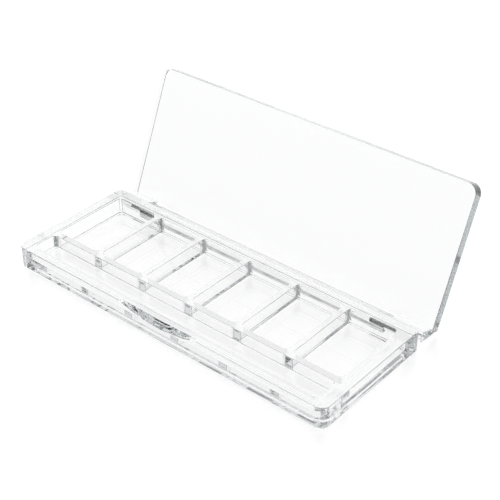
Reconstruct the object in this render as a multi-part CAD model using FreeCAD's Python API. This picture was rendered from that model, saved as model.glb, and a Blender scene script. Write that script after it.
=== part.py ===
"""Clear palette case: a shallow tray with a row of wells and a hinged flat lid.

Millimetres.  X runs along the case, Y from the front to the hinge, Z up.  The origin is the
centre of the open case's footprint, on the surface that it stands on.  The lid is drawn shut
and then turned open about the hinge, because the case rests with its lid open on its stop.
"""
import FreeCAD, Part
import math
import os

Vec = FreeCAD.Vector

# Case
CASE_WIDTH = 135.0
BODY_DEPTH = 50.75
BODY_HEIGHT = 8.2
FRONT_CORNER_R = 3.2
REAR_CORNER_R = 1.6
TOP_EDGE_R = 0.35
BOTTOM_EDGE_R = 0.5

# Low step along the top of the rear wall
LEDGE_FRONT = 48.2
LEDGE_DROP = 0.4

# Cavities, measured back from the front face
WELL_COUNT = 6
WELL_WIDTH = 18.9
DIVIDER = 2.32
WELL_FRONT = 15.4
WELL_BACK = 45.8
CHANNEL_FRONT = 3.5
CHANNEL_BACK = 12.95
WELL_FLOOR = 2.3
CHANNEL_FLOOR = 3.7
WELL_CORNER_R = 1.6
CHANNEL_CORNER_R = 2.0
FLOOR_FILLET_R = 0.25
CAVITY_EDGE_R = 0.2

# Thumb scoop in the front wall: steep up to the break, then nearly flat and gone before the channel
SCOOP_WIDTH = 34.5
SCOOP_DROP = 2.9
SCOOP_BREAK = 1.3
SCOOP_BREAK_DROP = 0.35
SCOOP_BACK = 3.2
SCOOP_BACK_DROP = 0.02

# Shallow recess in the underside, which leaves a foot rim all round
RECESS_INSET = 4.7
RECESS_DEPTH = 0.5
RECESS_CORNER_R = 2.5

# Hinge
HINGE_Y = 53.0
HINGE_Z = 3.86
BARREL_R = 1.9
LUG_INNER_X = 55.2
LUG_OUTER_X = 67.5
LUG_SIDE_GAP = 0.2
PIN_R = 1.0
PIN_RUNNING_GAP = 0.05
PIN_INNER_X = 49.0
PIN_OUTER_X = 60.5
PIN_END_CHAMFER = 0.25

# Lid, its front edge measured back from the front face when it is shut
LID_FRONT = 2.0
LID_THICKNESS = 4.7
LID_GAP = 0.15
LID_OVERHANG = 0.15
LID_FRONT_CORNER_R = 3.6
LID_REAR_CORNER_R = 1.6
LID_EDGE_R = 0.5
LID_FOOT_CLEARANCE = 0.05
OPEN_ANGLE = 113.0
NIB_R = 0.7
NIB_HEIGHT = 0.4
NIB_X = 3.2
NIB_Y = 2.6

# Modelling allowances
CUT_MARGIN = 1.0
FUSE_OVERLAP = 1.0
FLAT_TOLERANCE = 1e-6

# Worked out from the above
ROW_WIDTH = WELL_COUNT * WELL_WIDTH + (WELL_COUNT - 1) * DIVIDER
LID_INNER_Z = BODY_HEIGHT + LID_GAP
LID_OUTER_Z = LID_INNER_Z + LID_THICKNESS


def open_yz(y, z):
    """Where a point of the shut lid goes when the lid is open."""
    turn = math.radians(-OPEN_ANGLE)
    dy = y - HINGE_Y
    dz = z - HINGE_Z
    return (HINGE_Y + dy * math.cos(turn) - dz * math.sin(turn),
            HINGE_Z + dy * math.sin(turn) + dz * math.cos(turn))


def lid_rear_y():
    """The lid's rear edge, placed so that the open lid stands on its outer rear corner."""
    turn = math.radians(OPEN_ANGLE)
    corner_drop = (LID_OUTER_Z - HINGE_Z) * math.cos(turn)
    return HINGE_Y + (HINGE_Z + corner_drop - LID_FOOT_CLEARANCE) / math.sin(turn)


LID_REAR = lid_rear_y()
OPEN_DEPTH = open_yz(LID_FRONT + LID_EDGE_R, LID_OUTER_Z - LID_EDGE_R)[0] + LID_EDGE_R


def rounded_outline(x0, x1, y0, y1, z, front_r, rear_r):
    """A closed wire: a rectangle whose front and rear corners have their own radii."""
    corners = [(x0, y0, front_r), (x1, y0, front_r), (x1, y1, rear_r), (x0, y1, rear_r)]
    steps = [(1, 0), (0, 1), (-1, 0), (0, -1)]
    edges = []
    for i in range(4):
        x, y, r = corners[i]
        nx, ny, nr = corners[(i + 1) % 4]
        ux, uy = steps[i]
        px, py = steps[i - 1]
        diagonal = r * (1 - math.sqrt(0.5))
        before = Vec(x - px * r, y - py * r, z)
        middle = Vec(x + (ux - px) * diagonal, y + (uy - py) * diagonal, z)
        after = Vec(x + ux * r, y + uy * r, z)
        edges.append(Part.Arc(before, middle, after).toShape())
        edges.append(Part.LineSegment(after, Vec(nx - ux * nr, ny - uy * nr, z)).toShape())
    return Part.Wire(edges)


def slab(x0, x1, y0, y1, z0, z1, front_r, rear_r):
    """A flat block with upright rounded corners."""
    face = Part.Face(rounded_outline(x0, x1, y0, y1, z0, front_r, rear_r))
    return face.extrude(Vec(0, 0, z1 - z0))


def edges_at(shape, z):
    """The edges that lie wholly at one height."""
    flat = []
    for edge in shape.Edges:
        box = edge.BoundBox
        if max(abs(box.ZMin - z), abs(box.ZMax - z)) < FLAT_TOLERANCE:
            flat.append(edge)
    return flat


def cavity(x0, x1, y0, y1, floor, corner_r):
    """A cutter for one open-topped hollow with a softened floor edge."""
    cutter = slab(x0, x1, y0, y1, floor, BODY_HEIGHT + CUT_MARGIN, corner_r, corner_r)
    return cutter.makeFillet(FLOOR_FILLET_R, edges_at(cutter, floor))


def x_cylinder(radius, x0, x1):
    """A cylinder on the hinge axis from x0 to x1."""
    return Part.makeCylinder(radius, x1 - x0, Vec(x0, HINGE_Y, HINGE_Z), Vec(1, 0, 0))


def well_cutters():
    cutters = []
    for i in range(WELL_COUNT):
        x0 = -ROW_WIDTH / 2 + i * (WELL_WIDTH + DIVIDER)
        cutters.append(cavity(x0, x0 + WELL_WIDTH, WELL_FRONT, WELL_BACK, WELL_FLOOR,
                              WELL_CORNER_R))
    return cutters


def scoop_section(y, drop):
    """The scoop's outline at one depth: an arc below the rim, closed above it."""
    half = SCOOP_WIDTH / 2
    top = BODY_HEIGHT + CUT_MARGIN
    arc = Part.Arc(Vec(-half, y, BODY_HEIGHT), Vec(0, y, BODY_HEIGHT - drop),
                   Vec(half, y, BODY_HEIGHT)).toShape()
    corners = [Vec(half, y, BODY_HEIGHT), Vec(half, y, top), Vec(-half, y, top),
               Vec(-half, y, BODY_HEIGHT)]
    sides = [Part.LineSegment(corners[i], corners[i + 1]).toShape() for i in range(3)]
    return Part.Wire([arc] + sides)


def thumb_scoop():
    """A ruled ramp across the middle of the front wall, from an arc up to the flat rim."""
    fall = (SCOOP_DROP - SCOOP_BREAK_DROP) / SCOOP_BREAK
    before = scoop_section(-CUT_MARGIN, SCOOP_DROP + fall * CUT_MARGIN)
    middle = scoop_section(SCOOP_BREAK, SCOOP_BREAK_DROP)
    behind = scoop_section(SCOOP_BACK, SCOOP_BACK_DROP)
    return Part.makeLoft([before, middle, behind], True, True)


def cavity_rims(shape):
    """The top edges of the hollows, which lie well inside the body's own top edge."""
    inner = CASE_WIDTH / 2 - CUT_MARGIN
    rims = []
    for edge in edges_at(shape, BODY_HEIGHT):
        box = edge.BoundBox
        if box.XMin > -inner and box.XMax < inner and box.YMin > CUT_MARGIN \
                and box.YMax < BODY_DEPTH - CUT_MARGIN:
            rims.append(edge)
    return rims


def hinge_rib():
    """The long barrel behind the body, between the lid's two lugs, and the web that joins it."""
    end = LUG_INNER_X - LUG_SIDE_GAP
    barrel = x_cylinder(BARREL_R, -end, end)
    web = Part.makeBox(2 * end, HINGE_Y - BODY_DEPTH + FUSE_OVERLAP, 2 * BARREL_R,
                       Vec(-end, BODY_DEPTH - FUSE_OVERLAP, HINGE_Z - BARREL_R))
    return barrel.fuse(web)


def base_tray():
    half = CASE_WIDTH / 2
    block = slab(-half, half, 0, BODY_DEPTH, 0, BODY_HEIGHT, FRONT_CORNER_R, REAR_CORNER_R)
    block = block.makeFillet(TOP_EDGE_R, edges_at(block, BODY_HEIGHT))
    block = block.makeFillet(BOTTOM_EDGE_R, edges_at(block, 0.0))
    tray = block.fuse(hinge_rib()).removeSplitter()
    channel = cavity(-ROW_WIDTH / 2, ROW_WIDTH / 2, CHANNEL_FRONT, CHANNEL_BACK, CHANNEL_FLOOR,
                     CHANNEL_CORNER_R)
    tray = tray.cut(well_cutters() + [channel])
    tray = tray.makeFillet(CAVITY_EDGE_R, cavity_rims(tray))
    recess = slab(-half + RECESS_INSET, half - RECESS_INSET, RECESS_INSET,
                  BODY_DEPTH - RECESS_INSET, -CUT_MARGIN, RECESS_DEPTH, RECESS_CORNER_R, RECESS_CORNER_R)
    ledge = Part.makeBox(CASE_WIDTH + 2 * CUT_MARGIN, BODY_DEPTH - LEDGE_FRONT + CUT_MARGIN,
                         LEDGE_DROP + CUT_MARGIN,
                         Vec(-half - CUT_MARGIN, LEDGE_FRONT, BODY_HEIGHT - LEDGE_DROP))
    cutters = [thumb_scoop(), recess, ledge]
    for side in (-1, 1):
        ends = sorted((side * PIN_INNER_X, side * (LUG_INNER_X + CUT_MARGIN)))
        cutters.append(x_cylinder(PIN_R, ends[0], ends[1]))
    return tray.cut(cutters)


def lug(side):
    """One hinge lug: a barrel on the axis and a web up into the lid's rear edge."""
    x0, x1 = sorted((side * LUG_INNER_X, side * LUG_OUTER_X))
    front = HINGE_Y - BARREL_R
    root_z = LID_INNER_Z + LID_THICKNESS / 2
    profile = [Vec(x0, front, HINGE_Z), Vec(x0, front, root_z), Vec(x0, LID_REAR - LID_EDGE_R, root_z),
               Vec(x0, HINGE_Y + BARREL_R, HINGE_Z), Vec(x0, front, HINGE_Z)]
    web = Part.Face(Part.makePolygon(profile)).extrude(Vec(x1 - x0, 0, 0))
    return x_cylinder(BARREL_R, x0, x1).fuse(web)


def lid():
    half = CASE_WIDTH / 2 + LID_OVERHANG
    plate = slab(-half, half, LID_FRONT, LID_REAR, LID_INNER_Z, LID_OUTER_Z,
                 LID_FRONT_CORNER_R, LID_REAR_CORNER_R)
    rims = edges_at(plate, LID_INNER_Z) + edges_at(plate, LID_OUTER_Z)
    plate = plate.makeFillet(LID_EDGE_R, rims)
    pieces = [lug(-1), lug(1)]
    nib_sphere_r = (NIB_R ** 2 + NIB_HEIGHT ** 2) / (2 * NIB_HEIGHT)
    for side in (-1, 1):
        centre = Vec(side * NIB_X, LID_FRONT + NIB_Y, LID_INNER_Z - NIB_HEIGHT + nib_sphere_r)
        pieces.append(Part.makeSphere(nib_sphere_r, centre))
    whole = plate.fuse(pieces).removeSplitter()
    bore = PIN_R + PIN_RUNNING_GAP
    bore_ends = (LUG_INNER_X - CUT_MARGIN, LUG_OUTER_X + CUT_MARGIN)
    whole = whole.cut([x_cylinder(bore, -bore_ends[1], -bore_ends[0]),
                       x_cylinder(bore, bore_ends[0], bore_ends[1])])
    whole.rotate(Vec(0, HINGE_Y, HINGE_Z), Vec(1, 0, 0), -OPEN_ANGLE)
    return whole


def hinge_pin(side):
    x0, x1 = sorted((side * PIN_INNER_X, side * PIN_OUTER_X))
    pin = x_cylinder(PIN_R, x0, x1)
    rims = [edge for edge in pin.Edges if edge.BoundBox.XLength < FLAT_TOLERANCE]
    return pin.makeChamfer(PIN_END_CHAMFER, rims)


def main():
    os.makedirs("parts", exist_ok=True)
    nodes = {
        "base_tray": base_tray(),
        "lid": lid(),
        "left_hinge_pin": hinge_pin(-1),
        "right_hinge_pin": hinge_pin(1),
    }
    for name, shape in nodes.items():
        shape.translate(Vec(0, -OPEN_DEPTH / 2, 0))
        shape.exportStep("parts/%s.step" % name)
        box = shape.BoundBox
        print(name, "solids", len(shape.Solids), "valid", shape.isValid(),
              "volume mm3 %.1f" % shape.Volume,
              "x %.2f..%.2f y %.2f..%.2f z %.2f..%.2f" % (
                  box.XMin, box.XMax, box.YMin, box.YMax, box.ZMin, box.ZMax))
    print("hinge axis y %.3f z %.3f" % (HINGE_Y - OPEN_DEPTH / 2, HINGE_Z))


main()
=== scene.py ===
"""Looks for a clear palette case: an open tray of wells and a flat hinged lid, both in clear plastic."""
import math

import bpy
from bpy.props import FloatProperty, FloatVectorProperty, IntProperty, PointerProperty
from mathutils import Matrix, Vector


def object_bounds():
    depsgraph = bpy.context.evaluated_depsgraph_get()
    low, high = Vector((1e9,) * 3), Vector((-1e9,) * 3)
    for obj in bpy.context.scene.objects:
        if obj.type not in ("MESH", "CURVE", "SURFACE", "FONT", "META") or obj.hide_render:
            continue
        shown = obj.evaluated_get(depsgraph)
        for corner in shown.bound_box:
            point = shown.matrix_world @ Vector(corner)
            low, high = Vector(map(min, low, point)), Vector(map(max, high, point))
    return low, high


bl_info = {
    "name": "Clear Palette Case",
    "version": (1, 0, 0),
    "blender": (4, 5, 0),
    "location": "3D View > Sidebar > Palette Case",
    "description": "Builds the looks of a clear palette case around its fixed frame",
    "category": "Object",
}

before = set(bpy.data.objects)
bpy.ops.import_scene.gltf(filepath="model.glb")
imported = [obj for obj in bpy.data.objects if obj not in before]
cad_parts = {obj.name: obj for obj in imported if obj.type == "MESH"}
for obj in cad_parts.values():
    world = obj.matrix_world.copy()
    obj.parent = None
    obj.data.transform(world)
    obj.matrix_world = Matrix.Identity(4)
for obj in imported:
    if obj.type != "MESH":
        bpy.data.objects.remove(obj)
CAD_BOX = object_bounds()

# The clear plastics: noise scales per metre, and the span of each noise that shows
PLASTIC_IOR = 1.49
PATCH_SPAN = (0.5, 0.72)
SPECK_SCALE = 1400.0
SPECK_SPAN = (0.42, 0.62)
LINES_ALONG = (60, 2600, 2600)
LINES_ACROSS = (2200, 90, 90)
LINE_SPAN = (0.74, 0.8)

# The pins' steel: its drawing grain, its dull patches and the roughness they end at
GRAIN_SCALE = (120, 7000, 7000)
DULL_SCALE = 420.0
DULL_SPAN = (0.42, 0.66)
BRIGHT_SHARE = 0.5
STEEL_ROUGHNESS = (0.24, 0.46)

# The room: where its light is brightest, and how it fades round to the dim side
LIGHT_FROM = (-0.2, 1.0, 0.5)
LIGHT_SPAN = (-0.35, 0.55)

# The stage
FLOOR_ROUGHNESS = 0.35
FLOOR_GAP = 0.0002
SENSOR_WIDTH = 36.0


# ---------------------------------------------------------------- settings

class PALETTE_PG_plastic(bpy.types.PropertyGroup):
    tint: FloatVectorProperty(
        name="Tint", description="Colour of the clear plastic", subtype="COLOR",
        default=(0.972, 0.972, 0.972), min=0.0, max=1.0, size=3)
    depth_colour: FloatVectorProperty(
        name="Depth colour", description="Tint that the plastic takes on where it is deep",
        subtype="COLOR", default=(0.80, 0.82, 0.825), min=0.0, max=1.0, size=3)
    depth_density: FloatProperty(
        name="Depth density", description="How fast the plastic takes on its depth colour, per metre",
        default=22.0, min=0.0)
    roughness: FloatProperty(
        name="Roughness", description="Polish of the moulded faces", default=0.012, min=0.0,
        max=1.0, subtype="FACTOR")
    scuff: FloatProperty(
        name="Scuffing", description="Extra roughness in the handled patches", default=0.035,
        min=0.0, max=1.0, subtype="FACTOR")
    scratch: FloatProperty(
        name="Hairlines", description="Extra roughness in the fine hairlines", default=0.10,
        min=0.0, max=1.0, subtype="FACTOR")
    patch_size: FloatProperty(
        name="Patch size", description="Size of a handled patch", default=0.03, min=0.001,
        unit="LENGTH")
    ripple_size: FloatProperty(
        name="Ripple size", description="Length of a moulding flow ripple", default=0.012,
        min=0.001, unit="LENGTH")
    ripple: FloatProperty(
        name="Ripple height", description="Height of the moulding flow ripples",
        default=0.00001, min=0.0, max=0.001, unit="LENGTH", precision=6)


class PALETTE_PG_pins(bpy.types.PropertyGroup):
    colour: FloatVectorProperty(
        name="Steel colour", description="Colour of the hinge pins", subtype="COLOR",
        default=(0.30, 0.31, 0.32), min=0.0, max=1.0, size=3)
    dull_colour: FloatVectorProperty(
        name="Dull colour", description="Colour of the steel where it has dulled",
        subtype="COLOR", default=(0.17, 0.17, 0.18), min=0.0, max=1.0, size=3)
    grain: FloatProperty(
        name="Grain height", description="Depth of the drawing lines along the wire",
        default=0.000008, min=0.0, max=0.001, unit="LENGTH", precision=6)


class PALETTE_PG_stage(bpy.types.PropertyGroup):
    floor_colour: FloatVectorProperty(
        name="Floor colour", description="Colour of the plain floor", subtype="COLOR",
        default=(0.27, 0.27, 0.27), min=0.0, max=1.0, size=3)
    floor_size: FloatProperty(
        name="Floor size", description="Width of the floor", default=6.0, min=1.0, unit="LENGTH")
    floor_glow: FloatProperty(
        name="Floor glow", description="Light that the floor itself gives, as a light table does",
        default=0.80, min=0.0)
    back_light: FloatProperty(
        name="Back light", description="Strength of the room's light behind the case", default=1.02,
        min=0.0)
    front_light: FloatProperty(
        name="Front light", description="Strength of the room's light on the viewer's side",
        default=0.28, min=0.0)
    light_paths: IntProperty(
        name="Light paths", description="Bounces that light may take inside the clear plastic",
        default=40, min=4)
    camera_place: FloatVectorProperty(
        name="Camera place", description="Where the camera stands", subtype="TRANSLATION",
        default=(0.21884, -0.25375, 0.24020), size=3, unit="LENGTH")
    camera_turn: FloatProperty(
        name="Camera heading", description="Turn of the camera's view from +Y towards -X",
        default=math.radians(40.1), subtype="ANGLE")
    camera_tilt: FloatProperty(
        name="Camera tilt", description="How far the camera looks down", default=math.radians(33.96),
        subtype="ANGLE")
    lens: FloatProperty(
        name="Lens", description="Focal length on a 36 mm sensor, in millimetres", default=85.62,
        min=1.0)


# ---------------------------------------------------------------- materials

def new_material(name):
    mat = bpy.data.materials.new(name)
    mat.use_nodes = True
    nodes = mat.node_tree.nodes
    nodes.clear()
    output = nodes.new("ShaderNodeOutputMaterial")
    shader = nodes.new("ShaderNodeBsdfPrincipled")
    mat.node_tree.links.new(shader.outputs["BSDF"], output.inputs["Surface"])
    return mat, shader


def set_only_material(obj, mat):
    for slot in obj.material_slots:
        slot.material = mat
    if not obj.material_slots:
        obj.data.materials.append(mat)


def texture(nodes, links, vector, scale, detail):
    """A noise texture read at a vector, as a plain 0 to 1 value."""
    noise = nodes.new("ShaderNodeTexNoise")
    noise.inputs["Detail"].default_value = detail
    if isinstance(scale, float):
        noise.inputs["Scale"].default_value = scale
    else:
        links.new(scale, noise.inputs["Scale"])
    links.new(vector, noise.inputs["Vector"])
    return noise.outputs["Fac"]


def calculate(nodes, links, operation, first, second):
    """One sum on two sockets or plain numbers."""
    node = nodes.new("ShaderNodeMath")
    node.operation = operation
    for socket, value in zip(node.inputs, (first, second)):
        if isinstance(value, (int, float)):
            socket.default_value = value
        else:
            links.new(value, socket)
    return node.outputs[0]


def fade(nodes, links, value, low, high):
    """A smooth step of a value from 0 at low to 1 at high."""
    node = nodes.new("ShaderNodeMapRange")
    node.interpolation_type = "SMOOTHSTEP"
    node.inputs["From Min"].default_value = low
    node.inputs["From Max"].default_value = high
    links.new(value, node.inputs["Value"])
    return node.outputs["Result"]


def stretched(nodes, links, vector, scale):
    """The same place with each axis scaled, so that a noise runs along one of them."""
    node = nodes.new("ShaderNodeVectorMath")
    node.operation = "MULTIPLY"
    node.inputs[1].default_value = scale
    links.new(vector, node.inputs[0])
    return node.outputs["Vector"]


def moulded_surface():
    """The group that both clear plastics share: polish, handling, hairlines and flow ripples."""
    name = "moulded_surface"
    if name in bpy.data.node_groups:
        return bpy.data.node_groups[name]
    group = bpy.data.node_groups.new(name, "ShaderNodeTree")
    face = group.interface
    face.new_socket("Place", in_out="INPUT", socket_type="NodeSocketVector")
    for label in ("Polish", "Scuffing", "Hairlines", "Patch Scale", "Ripple Scale"):
        face.new_socket(label, in_out="INPUT", socket_type="NodeSocketFloat")
    for label in ("Roughness", "Height"):
        face.new_socket(label, in_out="OUTPUT", socket_type="NodeSocketFloat")
    nodes, links = group.nodes, group.links
    inputs = nodes.new("NodeGroupInput").outputs
    outputs = nodes.new("NodeGroupOutput").inputs
    place = inputs["Place"]

    patches = fade(nodes, links, texture(nodes, links, place, inputs["Patch Scale"], 3.0), *PATCH_SPAN)
    specks = fade(nodes, links, texture(nodes, links, place, SPECK_SCALE, 2.0), *SPECK_SPAN)
    handled = calculate(nodes, links, "MULTIPLY", patches, specks)
    along = texture(nodes, links, stretched(nodes, links, place, LINES_ALONG), 1.0, 1.0)
    across = texture(nodes, links, stretched(nodes, links, place, LINES_ACROSS), 1.0, 1.0)
    lines = calculate(nodes, links, "MAXIMUM", along, across)
    hairlines = calculate(nodes, links, "MULTIPLY", fade(nodes, links, lines, *LINE_SPAN), patches)
    worn = calculate(nodes, links, "MULTIPLY", handled, inputs["Scuffing"])
    scored = calculate(nodes, links, "MULTIPLY", hairlines, inputs["Hairlines"])
    polish = calculate(nodes, links, "ADD", inputs["Polish"], worn)
    links.new(calculate(nodes, links, "ADD", polish, scored), outputs["Roughness"])
    links.new(texture(nodes, links, place, inputs["Ripple Scale"], 1.0), outputs["Height"])
    return group


def place_of(nodes):
    """Each point's own place on the object, in metres."""
    return nodes.new("ShaderNodeTexCoord").outputs["Object"]


def add_bump(nodes, links, shader, height, distance):
    bump = nodes.new("ShaderNodeBump")
    bump.inputs["Strength"].default_value = 1.0
    bump.inputs["Distance"].default_value = distance
    links.new(height, bump.inputs["Height"])
    links.new(bump.outputs["Normal"], shader.inputs["Normal"])


def clear_plastic(name, settings):
    mat, shader = new_material(name)
    shader.inputs["Base Color"].default_value = (*settings.tint, 1.0)
    shader.inputs["Transmission Weight"].default_value = 1.0
    shader.inputs["IOR"].default_value = PLASTIC_IOR
    nodes, links = mat.node_tree.nodes, mat.node_tree.links
    surface = nodes.new("ShaderNodeGroup")
    surface.node_tree = moulded_surface()
    links.new(place_of(nodes), surface.inputs["Place"])
    surface.inputs["Polish"].default_value = settings.roughness
    surface.inputs["Scuffing"].default_value = settings.scuff
    surface.inputs["Hairlines"].default_value = settings.scratch
    surface.inputs["Patch Scale"].default_value = 1 / settings.patch_size
    surface.inputs["Ripple Scale"].default_value = 1 / settings.ripple_size
    links.new(surface.outputs["Roughness"], shader.inputs["Roughness"])
    add_bump(nodes, links, shader, surface.outputs["Height"], settings.ripple)
    depth = nodes.new("ShaderNodeVolumeAbsorption")
    depth.inputs["Color"].default_value = (*settings.depth_colour, 1.0)
    depth.inputs["Density"].default_value = settings.depth_density
    links.new(depth.outputs["Volume"], nodes["Material Output"].inputs["Volume"])
    return mat


def pin_steel(settings):
    mat, shader = new_material("drawn_steel_wire")
    shader.inputs["Metallic"].default_value = 1.0
    nodes, links = mat.node_tree.nodes, mat.node_tree.links
    place = place_of(nodes)
    grain = texture(nodes, links, stretched(nodes, links, place, GRAIN_SCALE), 1.0, 3.0)
    dulled = fade(nodes, links, texture(nodes, links, place, DULL_SCALE, 4.0), *DULL_SPAN)
    colour = nodes.new("ShaderNodeMix")
    colour.data_type = "RGBA"
    colour.inputs[6].default_value = (*settings.colour, 1.0)
    colour.inputs[7].default_value = (*settings.dull_colour, 1.0)
    links.new(dulled, colour.inputs[0])
    links.new(colour.outputs[2], shader.inputs["Base Color"])
    rough = nodes.new("ShaderNodeMapRange")
    rough.inputs["To Min"].default_value = STEEL_ROUGHNESS[0]
    rough.inputs["To Max"].default_value = STEEL_ROUGHNESS[1]
    share = calculate(nodes, links, "ADD", dulled, BRIGHT_SHARE)
    links.new(calculate(nodes, links, "MULTIPLY", grain, share), rough.inputs["Value"])
    links.new(rough.outputs["Result"], shader.inputs["Roughness"])
    add_bump(nodes, links, shader, grain, settings.grain)
    return mat


# ---------------------------------------------------------------- light

def room_light(settings):
    """A soft room, bright overhead and behind the case and dim on the viewer's side."""
    world = bpy.data.worlds.new("studio")
    world.use_nodes = True
    nodes, links = world.node_tree.nodes, world.node_tree.links
    background = nodes["Background"]
    background.inputs["Color"].default_value = (1, 1, 1, 1)
    coordinate = nodes.new("ShaderNodeTexCoord")
    towards = nodes.new("ShaderNodeVectorMath")
    towards.operation = "DOT_PRODUCT"
    towards.inputs[1].default_value = Vector(LIGHT_FROM).normalized()
    spread = nodes.new("ShaderNodeMapRange")
    spread.interpolation_type = "SMOOTHSTEP"
    spread.inputs["From Min"].default_value = LIGHT_SPAN[0]
    spread.inputs["From Max"].default_value = LIGHT_SPAN[1]
    spread.inputs["To Min"].default_value = settings.front_light
    spread.inputs["To Max"].default_value = settings.back_light
    links.new(coordinate.outputs["Generated"], towards.inputs[0])
    links.new(towards.outputs["Value"], spread.inputs["Value"])
    seen = nodes.new("ShaderNodeLightPath").outputs["Is Camera Ray"]
    strength = calculate(nodes, links, "MAXIMUM", spread.outputs["Result"], seen)
    links.new(strength, background.inputs["Strength"])
    return world


# ---------------------------------------------------------------- operators

class PALETTE_OT_tray(bpy.types.Operator):
    """Gives the tray its clear plastic"""
    bl_idname = "palette.tray"
    bl_label = "Build Tray"

    def execute(self, context):
        mat = clear_plastic("clear_tray_plastic", context.scene.palette_plastic)
        set_only_material(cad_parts["base_tray"], mat)
        return {"FINISHED"}


class PALETTE_OT_lid(bpy.types.Operator):
    """Gives the lid its clear plastic"""
    bl_idname = "palette.lid"
    bl_label = "Build Lid"

    def execute(self, context):
        mat = clear_plastic("clear_lid_plastic", context.scene.palette_plastic)
        set_only_material(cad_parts["lid"], mat)
        return {"FINISHED"}


class PALETTE_OT_pins(bpy.types.Operator):
    """Gives the hinge pins their steel"""
    bl_idname = "palette.pins"
    bl_label = "Build Hinge Pins"

    def execute(self, context):
        mat = pin_steel(context.scene.palette_pins)
        for node in ("left_hinge_pin", "right_hinge_pin"):
            set_only_material(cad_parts[node], mat)
        return {"FINISHED"}


class PALETTE_OT_stage(bpy.types.Operator):
    """Makes the floor, the light and the camera"""
    bl_idname = "palette.stage"
    bl_label = "Build Stage"

    def execute(self, context):
        settings = context.scene.palette_stage
        half = settings.floor_size / 2
        mesh = bpy.data.meshes.new("floor")
        corners = [(-half, -half, 0), (half, -half, 0), (half, half, 0), (-half, half, 0)]
        mesh.from_pydata(corners, [], [(0, 1, 2, 3)])
        floor = bpy.data.objects.new("floor", mesh)
        context.scene.collection.objects.link(floor)
        mat, shader = new_material("plain_floor")
        shader.inputs["Base Color"].default_value = (*settings.floor_colour, 1.0)
        shader.inputs["Roughness"].default_value = FLOOR_ROUGHNESS
        shader.inputs["Metallic"].default_value = 1.0
        shader.inputs["Emission Color"].default_value = (1, 1, 1, 1)
        shader.inputs["Emission Strength"].default_value = settings.floor_glow
        floor.data.materials.append(mat)
        floor.location.z = CAD_BOX[0].z - FLOOR_GAP

        context.scene.world = room_light(settings)

        data = bpy.data.cameras.new("camera")
        data.lens = settings.lens
        data.sensor_width = SENSOR_WIDTH
        camera = bpy.data.objects.new("camera", data)
        context.scene.collection.objects.link(camera)
        tilt = Matrix.Rotation(math.pi / 2 - settings.camera_tilt, 4, "X")
        turn = Matrix.Rotation(settings.camera_turn, 4, "Z")
        camera.matrix_world = Matrix.Translation(settings.camera_place) @ turn @ tilt
        context.scene.camera = camera
        context.scene.view_settings.view_transform = "Standard"
        paths = context.scene.cycles
        paths.max_bounces = paths.glossy_bounces = paths.transmission_bounces = settings.light_paths
        return {"FINISHED"}


class PALETTE_PT_panel(bpy.types.Panel):
    """Lists the case's pieces and settings"""
    bl_idname = "PALETTE_PT_panel"
    bl_label = "Palette Case"
    bl_space_type = "VIEW_3D"
    bl_region_type = "UI"
    bl_category = "Palette Case"

    def draw(self, context):
        for operator in OPERATORS:
            self.layout.operator(operator.bl_idname)
        for name in GROUPS:
            group = getattr(context.scene, name)
            for prop in group.bl_rna.properties:
                if prop.identifier not in ("rna_type", "name"):
                    self.layout.prop(group, prop.identifier)


GROUPS = {
    "palette_plastic": PALETTE_PG_plastic,
    "palette_pins": PALETTE_PG_pins,
    "palette_stage": PALETTE_PG_stage,
}
OPERATORS = (PALETTE_OT_tray, PALETTE_OT_lid, PALETTE_OT_pins, PALETTE_OT_stage)


def register():
    for cls in (*GROUPS.values(), *OPERATORS, PALETTE_PT_panel):
        bpy.utils.register_class(cls)
    for name, cls in GROUPS.items():
        setattr(bpy.types.Scene, name, PointerProperty(type=cls))


def unregister():
    for name in GROUPS:
        delattr(bpy.types.Scene, name)
    for cls in reversed((*GROUPS.values(), *OPERATORS, PALETTE_PT_panel)):
        bpy.utils.unregister_class(cls)


def main():
    register()
    bpy.ops.palette.stage()
    bpy.ops.palette.tray()
    bpy.ops.palette.lid()
    bpy.ops.palette.pins()


if __name__ == "__main__":
    main()
